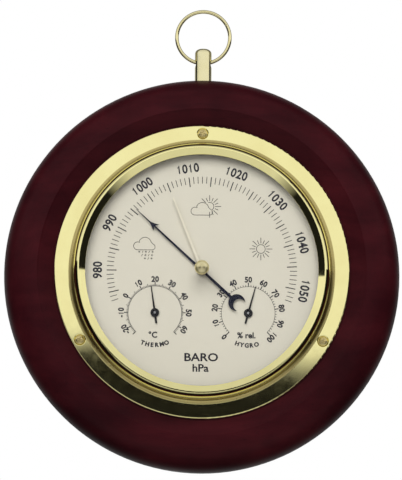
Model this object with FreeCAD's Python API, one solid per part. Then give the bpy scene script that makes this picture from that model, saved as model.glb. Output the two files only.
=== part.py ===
import FreeCAD, Part
import math
import os

# Wall weather station: a turned wooden ring case holds a brass instrument with
# a barometer, a thermometer and a hygrometer behind one glass.
# Millimetres. +Z is up, the dial faces -Y and the wall is the plane y = 0.
# Depths are written as f, the distance in front of the wall, so y = -f.
# Angles on a dial are clock angles: degrees from the top, clockwise from the front.

# ---- instrument can, flange and bezel, from the inside out ----
CAN_IN_R = 62.4
CAN_WALL = 0.8
LEDGE_W = 3.0
UPSTAND_W = 1.9
COVE_R = 2.8
FLANGE_W = 7.5
FLANGE_T = 1.6
FLANGE_ROUND = 0.6
FLANGE_EDGE = 0.3
UPSTAND_TOP = 0.6
CAN_BACK_F = 3.0
CAN_FLOOR = 1.0
CAN_CORNER_R = 1.5
MOVEMENT_DEPTH = 28.2
VENT_R = 1.5
VENT_PCR = 50.0
VENTS = 6

# ---- front stack on the ledge ----
DIAL_T = 0.8
SPACER_H = 3.0
SPACER_W = 2.0
GLASS_T = 2.0
GLASS_INSET = 1.8
GLASS_PLAY = 0.2
DIAL_HOLE_R = 2.0
SMALL_DIAL_HOLE_R = 1.5
BEZEL_LIP_W = 2.7
BEZEL_LIP_T = 0.75
BEZEL_CREST = 3.0
BEZEL_CREST_W = 0.7
BEZEL_CREST_IN = 0.3
BEZEL_STEP = 0.4
BEZEL_SET_IN = 0.2
BEZEL_BULGE_R = 0.55
BEZEL_BULGE_F = 0.66
SKIRT_GAP = 0.3
SLIP = 0.05
CLEARANCE = 0.15
THROUGH = 1.0

# ---- wooden case ----
SEAT_GAP = 0.5
SEAT_RIM = 0.9
SEAT_STEP = 0.4
DISH_W = 7.0
DISH_RISE = 3.46
QUIRK = 0.9
QUIRK_STEP = 0.54
RIM_ROLL = 18.6
BACK_ROUND = 10.0

# ---- flange screws ----
FLANGE_SCREWS = 3
SCREW_INSET = 4.3
SCREW_HEAD_R = 2.15
SCREW_RECESS_R = 3.15
SCREW_SEAT_R = 2.35
SCREW_RECESS_T = 0.6
SCREW_SHANK_R = 1.25
SCREW_LENGTH = 13.0
SCREW_TIP = 1.5
SCREW_HEAD_T = 0.6
SCREW_SHOULDER_T = 0.95
SCREW_DOME_T = 1.1
SCREW_CROSS = 0.62
SCREW_SLOT_W = 0.56
SCREW_SLOT_F = 0.4
SCREW_TURN = 20.0

# ---- hanging post and ring ----
POST_R = 4.5
POST_H = 17.5
POST_ROUND = 2.5
POST_SHANK_R = 2.5
POST_SHANK = 20.0
POST_SPOTFACE = 1.0
POST_PLAY = 0.1
EYE_PLAY = 1.2
EYE_H = 9.45
RING_R = 14.3
RING_WIRE_R = 1.0
RING_LIFT = 0.35
RING_SEAM = 0.25
RING_SEAM_AT = 60.0

# ---- scales and what they read ----
HPA_MID = 1013.0
HPA_DEG = 2.73
HPA_NOW = 995.7
CELSIUS_MID = 20.0
CELSIUS_DEG = 3.0
CELSIUS_NOW = 17.2
HUMIDITY_MID = 50.0
HUMIDITY_DEG = 2.7
HUMIDITY_NOW = 55.6
SMALL_DIAL_X = 24.4
SMALL_DIAL_Z = -22.4

# ---- hands ----
SMALL_HAND_GAP = 0.5
HAND_GAP = 0.8
SET_HAND_GAP = 0.35
HAND_T = 0.4
HAND_TIP = 47.2
HAND_TIP_W = 0.24
HAND_NEEDLE_W = 0.7
HAND_NECK_W = 0.9
HAND_TAIL_W = 1.56
ARROW_TIP = 37.3
ARROW_L = 4.6
ARROW_W = 4.5
ARROW_WAIST = 1.2
MOON_AT = 25.0
MOON_R = 4.4
MOON_BITE_AT = 27.0
MOON_BITE_R = 3.3
HUB_CAP_R = 2.75
HUB_CAP_T = 0.3
HUB_TUBE_R = 1.5
HUB_TO_DIAL = 0.3
SMALL_HAND_T = 0.3
SMALL_HAND_TIP = 14.4
SMALL_HAND_TIP_W = 0.44
SMALL_HAND_W = 1.1
SMALL_HAND_TAIL = 5.7
SMALL_HAND_TAIL_W = 1.0
SMALL_HUB_R = 2.3
SMALL_HUB_T = 0.4
SET_HAND_L = 41.0
SET_HAND_W = 1.6
SET_HAND_TIP_W = 0.7
SET_HAND_T = 0.35
SET_HUB_R = 2.2
SET_HUB_T = 0.55
SET_ANGLE = -21.9

# ---- setting knob through the glass ----
SET_SHAFT_R = 1.2
BUSH_R = 2.0
BUSH_RIM_R = 2.3
BUSH_RIM_T = 0.5
KNOB_R = 3.8
KNOB_NECK = 3.4
KNOB_NECK_R = 1.6
KNOB_H = 7.0
KNOB_WIDEST = 3.22
KNOB_SHOULDER_R = 1.8
KNOB_SHOULDER = 5.95
KNOB_POINT_R = 0.5
KNOB_TIP_R = 0.3
KNOB_BORE = 7.15

# ---- movement plates and pillars ----
PLATE_T = 1.2
BASE_T = 1.5
BASE_R = 28.0
MID_R = 30.0
MID_TO_DIAL = 10.7
FRONT_TO_DIAL = 4.6
SCALLOP_R = 14.5
LONG_PILLAR_R = 2.0
LONG_PILLARS = ((20.0, 13.0), (-20.0, 13.0), (0.0, -24.0))
SHORT_PILLAR_R = 1.75
SHORT_PILLARS = ((14.0, 12.0), (-14.0, 12.0), (0.0, -9.0))
FRONT_PLATE_R = 19.0
FRONT_PLATE_Z = 7.0
SMALL_THREAD_R = 0.9
SMALL_HEAD_R = 1.8
SMALL_HEAD_T = 0.9
SMALL_SLOT_W = 0.5
SLOT_DEPTH = 0.45
BACK_SCREW_GRIP = 4.5
MID_SCREW_L = 5.5
FRONT_SCREW_L = 3.8
LONG_THREAD = 5.0
SHORT_THREAD = 3.0

# ---- gearing: a toothed sector drives the pinion on the hand's arbor ----
MODULE = 0.35
PINION_TEETH = 12
SECTOR_TEETH = 96
SECTOR_CUT_TEETH = 11
PRESSURE_ANGLE = 20.0
BACKLASH = 0.08
PINION_ADDENDUM = 0.35
SECTOR_ADDENDUM = 0.25
DEDENDUM = 0.45
GEAR_T = 1.0
PINION_T = 1.6
ARBOR_R = 0.75
SECTOR_ARBOR_R = 1.0
SECTOR_HUB_R = 2.4
SECTOR_RIM_W = 2.6
SECTOR_RIM_END = 2.4
SECTOR_ARM_W = 3.2
SECTOR_ARM_TIP = 3.0
TAIL_ARM = 4.1
TAIL_W = 3.6
TAIL_END = 1.2
FORK_W = 1.25

# ---- rocking shaft that turns the capsule's travel into the sector's swing ----
SHAFT_R = 1.0
SHAFT_DROP = 2.5
SHAFT_END = 0.6
COLLAR_W = 0.6
COLLAR_T = 0.8
FINGER_ARM = 6.0
FINGER_R = 0.5
FINGER_END = 0.8
FINGER_SLOT_X = 2.0
FINGER_SLOT_Z = 1.2
CAPSULE_ARM = 3.5
CAPSULE_ARM_R = 0.6
BEARING_W = 4.0
BEARING_T = 2.5
BEARING_DROP = 2.2
SHAFT_LOW = -6.75
SHAFT_PAST_FINGER = 3.58

# ---- aneroid capsule on its sprung carrier ----
CAPSULE_R = 19.0
CAPSULE_SKIN = 0.25
CAPSULE_RISE = 2.6
CAPSULE_FOOT = 1.2
CAPSULE_RIM = 2.0
CAPSULE_WAVES = 4
CAPSULE_WAVE = 0.35
CAPSULE_STEPS = 30
CAPSULE_FLAT_R = 1.2
CAPSULE_BOSS_R = 3.0
STUD_BOSS_R = 1.14
STUD_BOSS_T = 1.6
STUD_PIN_R = 0.5
STUD_GAP = 0.1
CARRIER_W = 7.0
CARRIER_T = 0.6
CARRIER_FOOT = 24.0
CARRIER_FOOT_W = 4.0
CARRIER_BEND = 2.0
CARRIER_STEP = 1.0
CARRIER_SCREW_AT = 22.0
CARRIER_HEAD_R = 1.6
CARRIER_HEAD_T = 0.8
CARRIER_SCREW_L = 1.7
ADJUST_HEAD_R = 3.0
ADJUST_HEAD_OUT = 1.2
ADJUST_HOLE_R = 3.2
ADJUST_SHANK_R = 2.0
ADJUST_SLOT_W = 0.8
ADJUST_SLOT_F = 0.2

# ---- hairspring ----
HAIR_T = 0.15
HAIR_H = 0.6
HAIR_R = 6.0
HAIR_TURNS = 5.5
HAIR_GAP = 0.3
HAIR_STUD_R = 0.8
COLLET_R = 1.4
SPIRAL_STEPS = 18

# ---- thermometer and hygrometer units behind the dial ----
CAGE_W = 26.0
CAGE_STRIP = 6.0
CAGE_T = 1.0
CAGE_DEPTH = 10.6
SPINDLE_R = 0.6
SPINDLE_COLLET_R = 1.6
COIL_T = 0.35
COIL_H = 5.0
COIL_TURNS = 4.0
COIL_GAP = 1.5
COLLET_END = 0.3
SPINDLE_TIP = 0.35
END_PLAY = 0.1

# ---- sizes that follow ----
CAN_OUT_R = CAN_IN_R + CAN_WALL
UPSTAND_IN_R = CAN_IN_R + LEDGE_W
UPSTAND_R = UPSTAND_IN_R + UPSTAND_W
COVE_FOOT_R = UPSTAND_R + COVE_R
FLANGE_R = COVE_FOOT_R + FLANGE_W
SEAT_R = FLANGE_R + SEAT_RIM
QUIRK_R = SEAT_R + DISH_W
RIDGE_R = QUIRK_R + QUIRK
CASE_R = RIDGE_R + RIM_ROLL
CASE_BORE_R = CAN_OUT_R + SEAT_GAP

FLOOR_F = CAN_BACK_F + CAN_FLOOR
LEDGE_F = FLOOR_F + MOVEMENT_DEPTH
SEAT_F = LEDGE_F - FLANGE_T
UPSTAND_F = LEDGE_F + COVE_R + UPSTAND_TOP
DIAL_F = LEDGE_F + DIAL_T
GLASS_F = DIAL_F + SPACER_H
GLASS_FRONT_F = GLASS_F + GLASS_T
RIDGE_F = SEAT_F + SEAT_STEP + DISH_RISE + QUIRK_STEP
RIM_F = RIDGE_F - RIM_ROLL

GLASS_R = UPSTAND_IN_R - GLASS_INSET
SKIRT_R = UPSTAND_IN_R - SLIP
SKIRT_IN_R = GLASS_R + GLASS_PLAY
LIP_R = GLASS_R - BEZEL_LIP_W
CREST_F = GLASS_FRONT_F + BEZEL_CREST
CREST_R = SKIRT_IN_R + BEZEL_CREST_IN
KNOB_BACK_F = GLASS_FRONT_F + BUSH_RIM_T + CLEARANCE
KNOB_BALL_F = KNOB_BACK_F + KNOB_NECK

SMALL_HAND_F = DIAL_F + SMALL_HAND_GAP
HAND_F = SMALL_HAND_F + HAND_GAP
HAND_FRONT_F = HAND_F + HAND_T
SET_HAND_F = HAND_FRONT_F + HUB_CAP_T + SET_HAND_GAP
HAND_ANGLE = (HPA_NOW - HPA_MID) * HPA_DEG
CELSIUS_ANGLE = (CELSIUS_NOW - CELSIUS_MID) * CELSIUS_DEG
HUMIDITY_ANGLE = (HUMIDITY_NOW - HUMIDITY_MID) * HUMIDITY_DEG

BASE_F = FLOOR_F + BASE_T
MID_F = LEDGE_F - MID_TO_DIAL
FRONT_F = LEDGE_F - FRONT_TO_DIAL
SHAFT_F = MID_F - SHAFT_DROP
GEAR_MID_F = SHAFT_F + FINGER_ARM
PINION_PITCH_R = MODULE * PINION_TEETH / 2
SECTOR_PITCH_R = MODULE * SECTOR_TEETH / 2
CENTRE_DISTANCE = PINION_PITCH_R + SECTOR_PITCH_R
SECTOR_X = CAPSULE_ARM
SECTOR_Z = math.sqrt(CENTRE_DISTANCE ** 2 - SECTOR_X ** 2)
SECTOR_ANGLE = -HAND_ANGLE * PINION_TEETH / SECTOR_TEETH
ROCK_ANGLE = SECTOR_ANGLE * TAIL_ARM / FINGER_ARM
STUD_LIFT = CAPSULE_ARM * math.sin(math.radians(ROCK_ANGLE))
FINGER_Z = SECTOR_Z + TAIL_ARM
SHAFT_HIGH = FINGER_Z + SHAFT_PAST_FINGER
EYE_R = RING_WIRE_R + EYE_PLAY

CARRIER_F = BASE_F + CARRIER_STEP
CAPSULE_MID_F = CARRIER_F + CARRIER_T + CAPSULE_FOOT + CAPSULE_RISE
STUD_TIP_F = SHAFT_F - CAPSULE_ARM_R - STUD_GAP
HAIR_F = GEAR_MID_F + PINION_T / 2 + HAIR_GAP
CAGE_IN = CAGE_W / 2 - CAGE_T
CAGE_BACK_F = LEDGE_F - CAGE_DEPTH
COIL_F = CAGE_BACK_F + CAGE_T + COIL_GAP

V = FreeCAD.Vector
DIAL_AXIS = V(0, 1, 0)


def spot(r, angle, x=0.0, z=0.0):
    """Point (x, z) at a radius and clock angle from a centre."""
    a = math.radians(angle)
    return (x + r * math.sin(a), z + r * math.cos(a))


def spread(count, r, first=0.0):
    return [spot(r, first + 360.0 * i / count) for i in range(count)]


def disc(r, f0, f1, x=0.0, z=0.0):
    return Part.makeCylinder(r, f1 - f0, V(x, -f0, z), V(0, -1, 0))


def slab(x0, x1, f0, f1, z0, z1):
    return Part.makeBox(x1 - x0, f1 - f0, z1 - z0, V(x0, -f1, z0))


def plate(points, f0, f1):
    """Flat plate with an outline of (x, z) points."""
    corners = [V(x, -f0, z) for x, z in points]
    face = Part.Face(Part.makePolygon(corners + corners[:1]))
    return face.extrude(V(0, f0 - f1, 0))


def turned(path, x=0.0, z=0.0):
    """Solid turned about the Y line through (x, z).

    Each step of the path is (r, f) for a straight or (r, f, r, f) for an arc
    through the first pair to the second. The path closes itself.
    """
    edges = []
    here = path[0]
    for step in list(path[1:]) + [path[0]]:
        end = step[-2:]
        a = V(here[0], -here[1], 0)
        b = V(end[0], -end[1], 0)
        if len(step) == 4:
            edges.append(Part.Arc(a, V(step[0], -step[1], 0), b).toShape())
        else:
            edges.append(Part.LineSegment(a, b).toShape())
        here = end
    solid = Part.Face(Part.Wire(edges)).revolve(V(0, 0, 0), DIAL_AXIS, 360)
    if solid.Volume < 0:
        solid.reverse()
    solid.translate(V(x, 0, z))
    return solid


def corner_arc(rc, fc, radius, middle, last):
    """Arc step about (rc, fc): middle and last are angles from the r direction."""
    m = math.radians(middle)
    e = math.radians(last)
    return (rc + radius * math.cos(m), fc + radius * math.sin(m),
            rc + radius * math.cos(e), fc + radius * math.sin(e))


def swung(shape, angle, x=0.0, z=0.0):
    """Copy turned clockwise by a clock angle about the Y line through (x, z)."""
    copy = shape.copy()
    copy.rotate(V(x, 0, z), DIAL_AXIS, angle)
    return copy


def joined(shapes):
    body = shapes[0].fuse(list(shapes[1:]))
    return body.removeSplitter()


def drilled(body, tools):
    return body.cut(tools)


def screw(x, z, head_f, head_r, head_t, shank_r, length, slot_w):
    """Slotted screw driven in the +Y direction, its head outside head_f."""
    head = disc(head_r, head_f, head_f + head_t, x, z)
    shank = disc(shank_r, head_f - length, head_f, x, z)
    slot = slab(x - head_r, x + head_r, head_f + head_t * (1 - SLOT_DEPTH), head_f + head_t + THROUGH,
                z - slot_w / 2, z + slot_w / 2)
    return joined([head, shank]).cut(slot)


# ---- wooden case ----

def flange_screw_spots():
    return spread(FLANGE_SCREWS, FLANGE_R - SCREW_INSET)


def make_case():
    """Turned ring: flat back, rounded edges, a dished front and a stepped seat."""
    back_r = CASE_R - BACK_ROUND
    body = turned([
        (CASE_BORE_R, 0.0),
        (back_r, 0.0),
        corner_arc(back_r, BACK_ROUND, BACK_ROUND, -45, 0),
        (CASE_R, RIM_F),
        corner_arc(RIDGE_R, RIM_F, RIM_ROLL, 45, 90),
        (QUIRK_R, RIDGE_F - QUIRK_STEP),
        (SEAT_R, SEAT_F + SEAT_STEP),
        (SEAT_R, SEAT_F),
        (CASE_BORE_R, SEAT_F),
    ])
    shank = Part.makeCylinder(POST_SHANK_R, 2 * POST_SHANK, V(0, -RIM_F, CASE_R - POST_SHANK))
    spotface = Part.makeCylinder(POST_R + POST_PLAY, POST_SHANK, V(0, -RIM_F, CASE_R - POST_SPOTFACE))
    pilots = [disc(SCREW_SHANK_R, SEAT_F - SCREW_LENGTH, SEAT_F + THROUGH, x, z)
              for x, z in flange_screw_spots()]
    return drilled(body, [shank, spotface] + pilots)


def make_post():
    """Round brass post: domed top, cross hole for the ring, shank in the wood."""
    base = CASE_R - POST_SPOTFACE
    top = CASE_R + POST_H
    body = Part.makeCylinder(POST_R, top - base, V(0, -RIM_F, base))
    rim = [e for e in body.Edges if abs(e.BoundBox.ZMin - top) < 0.01 and e.Closed]
    body = body.makeFillet(POST_ROUND, rim)
    depth = POST_SHANK - POST_SPOTFACE
    shank = Part.makeCylinder(POST_SHANK_R, depth, V(0, -RIM_F, base - depth))
    eye = Part.makeCylinder(EYE_R, 4 * POST_R, V(-2 * POST_R, -RIM_F, CASE_R + EYE_H), V(1, 0, 0))
    return joined([body, shank]).cut(eye)


def make_hanging_ring():
    """Bent wire ring through the post's eye, with a butt seam."""
    centre_z = CASE_R + EYE_H + RING_LIFT + RING_R
    ring = Part.makeTorus(RING_R, RING_WIRE_R, V(0, -RIM_F, centre_z), DIAL_AXIS)
    reach = 2 * RING_WIRE_R
    seam = slab(-RING_SEAM / 2, RING_SEAM / 2, RIM_F - reach, RIM_F + reach,
                centre_z + RING_R - reach, centre_z + RING_R + reach)
    return ring.cut(swung(seam, RING_SEAM_AT, 0.0, centre_z))


# ---- brass can, bezel and glass ----

def make_can():
    """Spun brass can: closed back, dial ledge, upstand, cove and screwed flange."""
    corner_r = CAN_OUT_R - CAN_CORNER_R
    inner = CAN_CORNER_R - CAN_WALL
    round_f = LEDGE_F - FLANGE_ROUND
    body = turned([
        (0.0, CAN_BACK_F),
        (corner_r, CAN_BACK_F),
        corner_arc(corner_r, CAN_BACK_F + CAN_CORNER_R, CAN_CORNER_R, -45, 0),
        (CAN_OUT_R, SEAT_F),
        (FLANGE_R - FLANGE_EDGE, SEAT_F),
        (FLANGE_R, SEAT_F + FLANGE_EDGE),
        (FLANGE_R, round_f),
        corner_arc(FLANGE_R - FLANGE_ROUND, round_f, FLANGE_ROUND, 45, 90),
        (COVE_FOOT_R, LEDGE_F),
        corner_arc(COVE_FOOT_R, LEDGE_F + COVE_R, COVE_R, 225, 180),
        (UPSTAND_R, UPSTAND_F),
        (UPSTAND_IN_R, UPSTAND_F),
        (UPSTAND_IN_R, LEDGE_F),
        (CAN_IN_R, LEDGE_F),
        (CAN_IN_R, FLOOR_F + inner),
        corner_arc(CAN_IN_R - inner, FLOOR_F + inner, inner, -45, -90),
        (0.0, FLOOR_F),
    ])
    holes = [disc(ADJUST_HOLE_R, 0, FLOOR_F + THROUGH)]
    for x, z in flange_screw_spots():
        holes.append(Part.makeCone(SCREW_SEAT_R, SCREW_RECESS_R, SCREW_RECESS_T,
                                   V(x, SCREW_RECESS_T - LEDGE_F, z), DIAL_AXIS * -1))
        holes.append(disc(SCREW_RECESS_R, LEDGE_F, LEDGE_F + COVE_R, x, z))
        holes.append(disc(SCREW_SHANK_R + CLEARANCE, SEAT_F - THROUGH, LEDGE_F, x, z))
    for x, z in spread(VENTS, VENT_PCR):
        holes.append(disc(VENT_R, 0, FLOOR_F + THROUGH, x, z))
    for x, z in LONG_PILLARS:
        holes.append(disc(SMALL_THREAD_R + CLEARANCE, 0, FLOOR_F + THROUGH, x, z))
    return drilled(body, holes)


def make_bezel():
    """Ring pressed into the upstand: outer bead, crest, inner cone and glass lip."""
    lip_f = GLASS_FRONT_F + SLIP
    foot_r = UPSTAND_R - BEZEL_SET_IN
    top_r = CREST_R + BEZEL_CREST_W
    return turned([
        (SKIRT_IN_R, DIAL_F + SKIRT_GAP),
        (SKIRT_R, DIAL_F + SKIRT_GAP),
        (SKIRT_R, UPSTAND_F),
        (foot_r, UPSTAND_F),
        (foot_r, UPSTAND_F + BEZEL_STEP),
        ((UPSTAND_R + top_r) / 2 + BEZEL_BULGE_R, (UPSTAND_F + CREST_F) / 2 + BEZEL_BULGE_F,
         top_r, CREST_F),
        (CREST_R, CREST_F),
        (LIP_R, lip_f + BEZEL_LIP_T),
        (LIP_R, lip_f),
        (SKIRT_IN_R, lip_f),
    ])


def make_flange_screws():
    """Cross-slotted screws with low domed heads, standing in the flange's recesses."""
    seat = LEDGE_F - SCREW_RECESS_T
    arm = SCREW_HEAD_R * SCREW_CROSS
    half = SCREW_SLOT_W / 2
    solids = []
    for x, z in flange_screw_spots():
        body = turned([
            (0.0, seat - SCREW_LENGTH + SCREW_TIP),
            (SCREW_SHANK_R, seat - SCREW_LENGTH + 2 * SCREW_TIP),
            (SCREW_SHANK_R, seat),
            (SCREW_HEAD_R, seat),
            (SCREW_HEAD_R, seat + SCREW_HEAD_T),
            (arm, seat + SCREW_SHOULDER_T, 0.0, seat + SCREW_DOME_T),
        ], x, z)
        f0 = seat + SCREW_SLOT_F
        f1 = seat + SCREW_DOME_T + THROUGH
        across = slab(x - arm, x + arm, f0, f1, z - half, z + half)
        upright = slab(x - half, x + half, f0, f1, z - arm, z + arm)
        cross = [swung(across, SCREW_TURN, x, z), swung(upright, SCREW_TURN, x, z)]
        solids.append(drilled(body, cross))
    return Part.makeCompound(solids)


def make_spacer():
    inner = disc(GLASS_R - SPACER_W, DIAL_F - THROUGH, GLASS_F + THROUGH)
    return disc(GLASS_R, DIAL_F, GLASS_F).cut(inner)


def make_glass():
    hole = disc(BUSH_R, GLASS_F - THROUGH, GLASS_FRONT_F + THROUGH)
    return disc(GLASS_R, GLASS_F, GLASS_FRONT_F).cut(hole)


def make_dial():
    """Round dial plate with a hole for each of the three arbors."""
    f0 = LEDGE_F - THROUGH
    f1 = DIAL_F + THROUGH
    holes = [disc(DIAL_HOLE_R, f0, f1)]
    for side in (-1, 1):
        holes.append(disc(SMALL_DIAL_HOLE_R, f0, f1, side * SMALL_DIAL_X, SMALL_DIAL_Z))
    return drilled(disc(UPSTAND_IN_R - GLASS_PLAY, LEDGE_F, DIAL_F), holes)


# ---- setting hand and knob ----

def make_bush():
    """Brass bush in the middle of the glass."""
    bore = disc(SET_SHAFT_R + SLIP, GLASS_F - THROUGH, GLASS_FRONT_F + BUSH_RIM_T + THROUGH)
    rim = disc(BUSH_RIM_R, GLASS_FRONT_F, GLASS_FRONT_F + BUSH_RIM_T)
    return joined([disc(BUSH_R, GLASS_F, GLASS_FRONT_F), rim]).cut(bore)


def make_set_shaft():
    return disc(SET_SHAFT_R, SET_HAND_F - END_PLAY, KNOB_BACK_F + KNOB_BORE)


def make_knob():
    """Turned ball knob with a neck and a blunt point, bored for its shaft."""
    middle = KNOB_BALL_F + KNOB_WIDEST
    return turned([
        (SET_SHAFT_R, KNOB_BACK_F),
        (KNOB_NECK_R, KNOB_BACK_F),
        (KNOB_NECK_R, KNOB_BALL_F),
        (KNOB_R * 0.80, middle - KNOB_WIDEST * 0.63, KNOB_R, middle),
        (KNOB_R * 0.87, middle + KNOB_WIDEST * 0.52, KNOB_SHOULDER_R, KNOB_BALL_F + KNOB_SHOULDER),
        (KNOB_POINT_R, KNOB_BALL_F + KNOB_H - CLEARANCE),
        (KNOB_TIP_R, KNOB_BALL_F + KNOB_H),
        (0.0, KNOB_BALL_F + KNOB_H),
        (0.0, KNOB_BACK_F + KNOB_BORE),
        (SET_SHAFT_R, KNOB_BACK_F + KNOB_BORE),
    ])


def make_set_hand():
    """Thin tapered brass hand with a round hub under the glass."""
    w = SET_HAND_W / 2
    tip = SET_HAND_TIP_W / 2
    f0 = SET_HAND_F + END_PLAY
    hub = disc(SET_HUB_R, SET_HAND_F, SET_HAND_F + SET_HUB_T)
    arm = plate([(-w, 0.0), (w, 0.0), (tip, SET_HAND_L), (-tip, SET_HAND_L)], f0, f0 + SET_HAND_T)
    body = joined([hub, arm]).cut(disc(SET_SHAFT_R, SET_HAND_F - THROUGH, GLASS_F))
    return swung(body, SET_ANGLE)


# ---- barometer hand and arbor ----

def mirrored(right):
    """Closed outline from its right half, given from the tail to the tip."""
    return right + [(-x, z) for x, z in reversed(right)]


def make_barometer_hand():
    """Blued hand: needle point, swept arrowhead and a crescent for a tail."""
    f0 = HAND_F
    f1 = HAND_FRONT_F
    barb = ARROW_TIP - ARROW_L
    neck = HAND_NECK_W / 2
    needle = HAND_NEEDLE_W / 2
    shaft = plate(mirrored([(HAND_TAIL_W / 2, MOON_R - MOON_AT - 1.6), (neck, barb),
                            (needle, ARROW_TIP + 0.4), (HAND_TIP_W / 2, HAND_TIP)]), f0, f1)
    head = plate([(0.0, barb + 1.5), (-ARROW_WAIST, barb + 0.75), (-ARROW_W / 2, barb),
                  (-1.35, barb + 1.8), (-0.7, barb + 3.4), (0.0, ARROW_TIP + 0.6),
                  (0.7, barb + 3.4), (1.35, barb + 1.8), (ARROW_W / 2, barb),
                  (ARROW_WAIST, barb + 0.75)], f0, f1)
    bite = disc(MOON_BITE_R, f0 - THROUGH, f1 + THROUGH, 0.0, -MOON_BITE_AT)
    moon = disc(MOON_R, f0, f1, 0.0, -MOON_AT).cut(bite)
    body = joined([shaft, head, disc(HUB_CAP_R, f0, f1), moon])
    return swung(body.cut(disc(HUB_TUBE_R, f0 - THROUGH, f1 + THROUGH)), HAND_ANGLE)


def make_hand_hub():
    """Collet that rivets the hand to its arbor."""
    tube = disc(HUB_TUBE_R, DIAL_F + HUB_TO_DIAL, HAND_FRONT_F)
    cap = disc(HUB_CAP_R, HAND_FRONT_F, HAND_FRONT_F + HUB_CAP_T)
    return joined([tube, cap]).cut(disc(ARBOR_R, DIAL_F, HAND_FRONT_F + END_PLAY))


def half_tooth(teeth, r):
    """Half the tooth's angle at radius r for an involute tooth, in radians."""
    pitch_r = MODULE * teeth / 2
    base_r = pitch_r * math.cos(math.radians(PRESSURE_ANGLE))
    flat = math.radians(PRESSURE_ANGLE)
    half = math.pi / (2 * teeth) - BACKLASH / (4 * pitch_r) + math.tan(flat) - flat
    if r <= base_r:
        return half
    lean = math.acos(base_r / r)
    return half - (math.tan(lean) - lean)


def toothed_edge(teeth, addendum, middles):
    """Outline points of the teeth whose centres are at the given clock angles."""
    pitch_r = MODULE * teeth / 2
    radii = [pitch_r - DEDENDUM + i * (DEDENDUM + addendum) / 4 for i in range(5)]
    points = []
    for middle in middles:
        flank = [(r, math.degrees(half_tooth(teeth, r))) for r in radii]
        points += [spot(r, middle - half) for r, half in flank]
        points += [spot(r, middle + half) for r, half in reversed(flank)]
    return points


def mesh_angle():
    """Clock angle from the hand's arbor to the sector's arbor."""
    return math.degrees(math.atan2(SECTOR_X, SECTOR_Z))


def make_arbor():
    """Hand's arbor with its pinion and the hairspring's collet."""
    step = 360.0 / PINION_TEETH
    middles = [mesh_angle() + step * (i + 0.5) for i in range(PINION_TEETH)]
    pinion = plate(toothed_edge(PINION_TEETH, PINION_ADDENDUM, middles),
                   GEAR_MID_F - PINION_T / 2, GEAR_MID_F + PINION_T / 2)
    staff = disc(ARBOR_R, MID_F + END_PLAY, HAND_FRONT_F + END_PLAY)
    collet = disc(COLLET_R, GEAR_MID_F + PINION_T / 2, HAIR_F + HAIR_H + END_PLAY)
    return swung(joined([pinion, staff, collet]), HAND_ANGLE)


def spiral(r0, r1, turns, first, thick, f0, f1, x=0.0, z=0.0):
    """Flat spiral strip that starts at a clock angle and winds outwards."""
    count = int(turns * SPIRAL_STEPS)
    sides = []
    for shift in (-thick / 2, thick / 2):
        points = []
        for i in range(count + 1):
            t = i / count
            px, pz = spot(r0 + (r1 - r0) * t + shift, first + 360.0 * turns * t, x, z)
            points.append(V(px, -f0, pz))
        curve = Part.BSplineCurve()
        curve.interpolate(points)
        sides.append((curve.toShape(), points[0], points[-1]))
    (inner, a0, a1), (outer, b0, b1) = sides
    ends = [Part.LineSegment(a1, b1).toShape(), Part.LineSegment(b0, a0).toShape()]
    face = Part.Face(Part.Wire(Part.__sortEdges__([inner, ends[0], outer, ends[1]])))
    solid = face.extrude(V(0, f0 - f1, 0))
    if solid.Volume < 0:
        solid.reverse()
    return solid


def make_hairspring():
    """Flat spiral that takes up the play between the teeth."""
    return spiral(COLLET_R + HAIR_T / 2, HAIR_R, HAIR_TURNS, -90.0, HAIR_T,
                  HAIR_F, HAIR_F + HAIR_H)


def make_hairspring_stud():
    """Peg under the front plate, holding the hairspring's outer end."""
    x, z = spot(HAIR_R, 360.0 * HAIR_TURNS - 90.0)
    peg = disc(HAIR_STUD_R, HAIR_F - HAIR_GAP, FRONT_F, x, z)
    return peg.cut(make_hairspring())


# ---- sector and rocking shaft ----

def make_sector():
    """Toothed sector with a forked tail, on its own arbor."""
    towards = mesh_angle() + 180.0
    step = 360.0 / SECTOR_TEETH
    reach = (SECTOR_CUT_TEETH - 1) // 2
    middles = [towards + step * i for i in range(-reach, reach + 1)]
    rim = toothed_edge(SECTOR_TEETH, SECTOR_ADDENDUM, middles)
    side = reach * step + SECTOR_RIM_END
    inner_r = SECTOR_PITCH_R - SECTOR_RIM_W
    root_r = SECTOR_PITCH_R - DEDENDUM
    f0 = GEAR_MID_F - GEAR_T / 2
    f1 = GEAR_MID_F + GEAR_T / 2
    ends = [spot(root_r, towards + side), spot(inner_r, towards + side), spot(inner_r, towards),
            spot(inner_r, towards - side), spot(root_r, towards - side)]
    band = plate(rim + ends, f0, f1)
    arms = []
    for turn in (-side * 0.7, side * 0.7):
        along = towards + turn
        root = [spot(SECTOR_ARM_W / 2, along - 90), spot(SECTOR_ARM_W / 2, along + 90)]
        tip = [spot(inner_r + 0.8, along + SECTOR_ARM_TIP), spot(inner_r + 0.8, along - SECTOR_ARM_TIP)]
        arms.append(plate(root + tip, f0, f1))
    tail = slab(-TAIL_W / 2, TAIL_W / 2, f0, f1, 0.0, TAIL_ARM + TAIL_END)
    fork = slab(-FORK_W / 2, FORK_W / 2, f0 - THROUGH, f1 + THROUGH,
                TAIL_ARM - TAIL_END, TAIL_ARM + 2 * TAIL_END)
    body = joined([band, disc(SECTOR_HUB_R, f0, f1), tail] + arms)
    body = body.cut([fork, disc(SECTOR_ARBOR_R, f0 - THROUGH, f1 + THROUGH)])
    body = swung(body, SECTOR_ANGLE)
    body.translate(V(SECTOR_X, 0, SECTOR_Z))
    return body


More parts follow.
